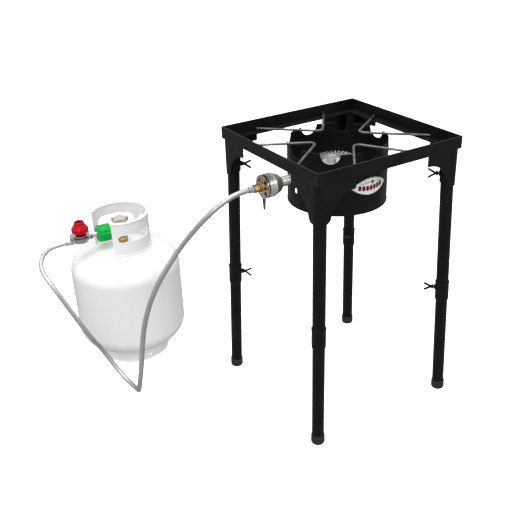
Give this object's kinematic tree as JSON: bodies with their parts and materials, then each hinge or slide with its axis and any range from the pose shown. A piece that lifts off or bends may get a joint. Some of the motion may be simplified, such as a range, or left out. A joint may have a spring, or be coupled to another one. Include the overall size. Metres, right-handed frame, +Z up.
{
  "type": "outdoor gas brewing burner set",
  "caption": "Square outdoor burner stand on round legs, with a braided hose and regulator from an upright gas cylinder.",
  "frame": {"origin": "bottom centre of the whole set, hose left out, on the floor", "axes": "+Z up; +X along the stand's front side, from the cylinder towards the stand; +Y from the stand's front side towards the cylinder's side"},
  "size_m": [0.8878, 0.8532, 0.7225],
  "materials": {
    "black_powder": "satin",
    "rubber": "matte",
    "screw_black": "satin",
    "grate_steel": "satin",
    "badge": "gloss",
    "cast_silver": "cast",
    "zinc": "plated",
    "cast_black": "rough",
    "chrome": "polished",
    "brass": "machined",
    "braid": "braided",
    "ferrule": "crimped",
    "tank_white": "gloss",
    "wheel_grey": "moulded",
    "nut_green": "moulded",
    "regulator_metal": "cast",
    "knob_red": "moulded"
  },
  "bodies": {
    "set": {"rail_0": "black_powder", "corner_bracket_0": "black_powder", "leg_sleeve_0": "black_powder", "grate_wire_0": "grate_steel", "rail_1": "black_powder", "corner_bracket_1": "black_powder", "leg_sleeve_1": "black_powder", "grate_wire_1": "grate_steel", "rail_2": "black_powder", "corner_bracket_2": "black_powder", "leg_sleeve_2": "black_powder", "grate_wire_2": "grate_steel", "rail_3": "black_powder", "corner_bracket_3": "black_powder", "leg_sleeve_3": "black_powder", "grate_wire_3": "grate_steel", "wind_guard": "black_powder", "badge": "badge", "burner_cup": "cast_silver", "burner_strap": "black_powder", "burner_bolt": "zinc", "burner_nut": "zinc", "mixing_tube": "cast_silver", "orifice_fitting": "brass", "flare_nut": "brass", "hose": "braid", "hose_ferrule_burner": "ferrule", "hose_ferrule_regulator": "ferrule", "tank_shell": "tank_white", "tank_collar": "tank_white", "foot_ring": "tank_white", "valve_body": "brass", "inlet_nipple": "zinc", "regulator_body": "regulator_metal", "regulator_bonnet": "regulator_metal"},
    "upper_leg_0": {"upper_leg_0": "black_powder"},
    "lower_leg_0": {"lower_leg_0": "black_powder", "foot_cap_0": "rubber"},
    "upper_screw_0": {"upper_wing_screw_0": "screw_black"},
    "lower_screw_0": {"lower_wing_screw_0": "screw_black"},
    "upper_leg_1": {"upper_leg_1": "black_powder"},
    "lower_leg_1": {"lower_leg_1": "black_powder", "foot_cap_1": "rubber"},
    "upper_screw_1": {"upper_wing_screw_1": "screw_black"},
    "lower_screw_1": {"lower_wing_screw_1": "screw_black"},
    "upper_leg_2": {"upper_leg_2": "black_powder"},
    "lower_leg_2": {"lower_leg_2": "black_powder", "foot_cap_2": "rubber"},
    "upper_screw_2": {"upper_wing_screw_2": "screw_black"},
    "lower_screw_2": {"lower_wing_screw_2": "screw_black"},
    "upper_leg_3": {"upper_leg_3": "black_powder"},
    "lower_leg_3": {"lower_leg_3": "black_powder", "foot_cap_3": "rubber"},
    "upper_screw_3": {"upper_wing_screw_3": "screw_black"},
    "lower_screw_3": {"lower_wing_screw_3": "screw_black"},
    "air_shutter": {"air_shutter": "chrome", "shutter_lever": "cast_black"},
    "valve_handwheel": {"valve_handwheel": "wheel_grey"},
    "coupling_nut": {"coupling_nut": "nut_green"},
    "regulator_knob": {"regulator_knob": "knob_red"}
  },
  "joints": [
    {"name": "upper_leg_slide_0", "type": "slide", "parent": "set", "child": "upper_leg_0", "axis": [-0.0253, -0.0253, -0.9994], "range_m": [0, 0.082]},
    {"name": "lower_leg_slide_0", "type": "slide", "parent": "upper_leg_0", "child": "lower_leg_0", "axis": [-0.0253, -0.0253, -0.9994], "range_m": [0, 0.045]},
    {"name": "upper_screw_turn_0", "type": "hinge", "parent": "set", "child": "upper_screw_0", "pos_m": [0.00218, -0.37552, 0.62707], "axis": [0.7067, 0.7067, -0.0358], "range_deg": [0, 810]},
    {"name": "lower_screw_turn_0", "type": "hinge", "parent": "lower_leg_0", "child": "lower_screw_0", "pos_m": [-0.00574, -0.38344, 0.31427], "axis": [0.7067, 0.7067, -0.0358], "range_deg": [0, 810]},
    {"name": "upper_leg_slide_1", "type": "slide", "parent": "set", "child": "upper_leg_1", "axis": [0.0253, -0.0253, -0.9994], "range_m": [0, 0.082]},
    {"name": "lower_leg_slide_1", "type": "slide", "parent": "upper_leg_1", "child": "lower_leg_1", "axis": [0.0253, -0.0253, -0.9994], "range_m": [0, 0.045]},
    {"name": "upper_screw_turn_1", "type": "hinge", "parent": "set", "child": "upper_screw_1", "pos_m": [0.34252, -0.37552, 0.62707], "axis": [-0.7067, 0.7067, -0.0358], "range_deg": [0, 810]},
    {"name": "lower_screw_turn_1", "type": "hinge", "parent": "lower_leg_1", "child": "lower_screw_1", "pos_m": [0.35044, -0.38344, 0.31427], "axis": [-0.7067, 0.7067, -0.0358], "range_deg": [0, 810]},
    {"name": "upper_leg_slide_2", "type": "slide", "parent": "set", "child": "upper_leg_2", "axis": [0.0253, 0.0253, -0.9994], "range_m": [0, 0.082]},
    {"name": "lower_leg_slide_2", "type": "slide", "parent": "upper_leg_2", "child": "lower_leg_2", "axis": [0.0253, 0.0253, -0.9994], "range_m": [0, 0.045]},
    {"name": "upper_screw_turn_2", "type": "hinge", "parent": "set", "child": "upper_screw_2", "pos_m": [0.34252, -0.03518, 0.62707], "axis": [-0.7067, -0.7067, -0.0358], "range_deg": [0, 810]},
    {"name": "lower_screw_turn_2", "type": "hinge", "parent": "lower_leg_2", "child": "lower_screw_2", "pos_m": [0.35044, -0.02726, 0.31427], "axis": [-0.7067, -0.7067, -0.0358], "range_deg": [0, 810]},
    {"name": "upper_leg_slide_3", "type": "slide", "parent": "set", "child": "upper_leg_3", "axis": [-0.0253, 0.0253, -0.9994], "range_m": [0, 0.082]},
    {"name": "lower_leg_slide_3", "type": "slide", "parent": "upper_leg_3", "child": "lower_leg_3", "axis": [-0.0253, 0.0253, -0.9994], "range_m": [0, 0.045]},
    {"name": "upper_screw_turn_3", "type": "hinge", "parent": "set", "child": "upper_screw_3", "pos_m": [0.00218, -0.03518, 0.62707], "axis": [0.7067, -0.7067, -0.0358], "range_deg": [0, 810]},
    {"name": "lower_screw_turn_3", "type": "hinge", "parent": "lower_leg_3", "child": "lower_screw_3", "pos_m": [-0.00574, -0.02726, 0.31427], "axis": [0.7067, -0.7067, -0.0358], "range_deg": [0, 810]},
    {"name": "air_shutter_turn", "type": "hinge", "parent": "set", "child": "air_shutter", "pos_m": [-0.04465, -0.20535, 0.63], "axis": [-1, 0, 0], "range_deg": [-60, 60]},
    {"name": "valve_handwheel_turn", "type": "hinge", "parent": "set", "child": "valve_handwheel", "pos_m": [-0.23665, 0.26965, 0.42], "axis": [0, 0, 1], "range_deg": [0, 1170]},
    {"name": "coupling_nut_turn", "type": "hinge", "parent": "set", "child": "coupling_nut", "pos_m": [-0.2914, 0.27492, 0.393], "axis": [0.9954, -0.0958, 0], "range_deg": [0, 1530]},
    {"name": "regulator_knob_turn", "type": "hinge", "parent": "set", "child": "regulator_knob", "pos_m": [-0.35162, 0.28072, 0.423], "axis": [0, 0, 1], "range_deg": [0, 1530]}
  ]
}
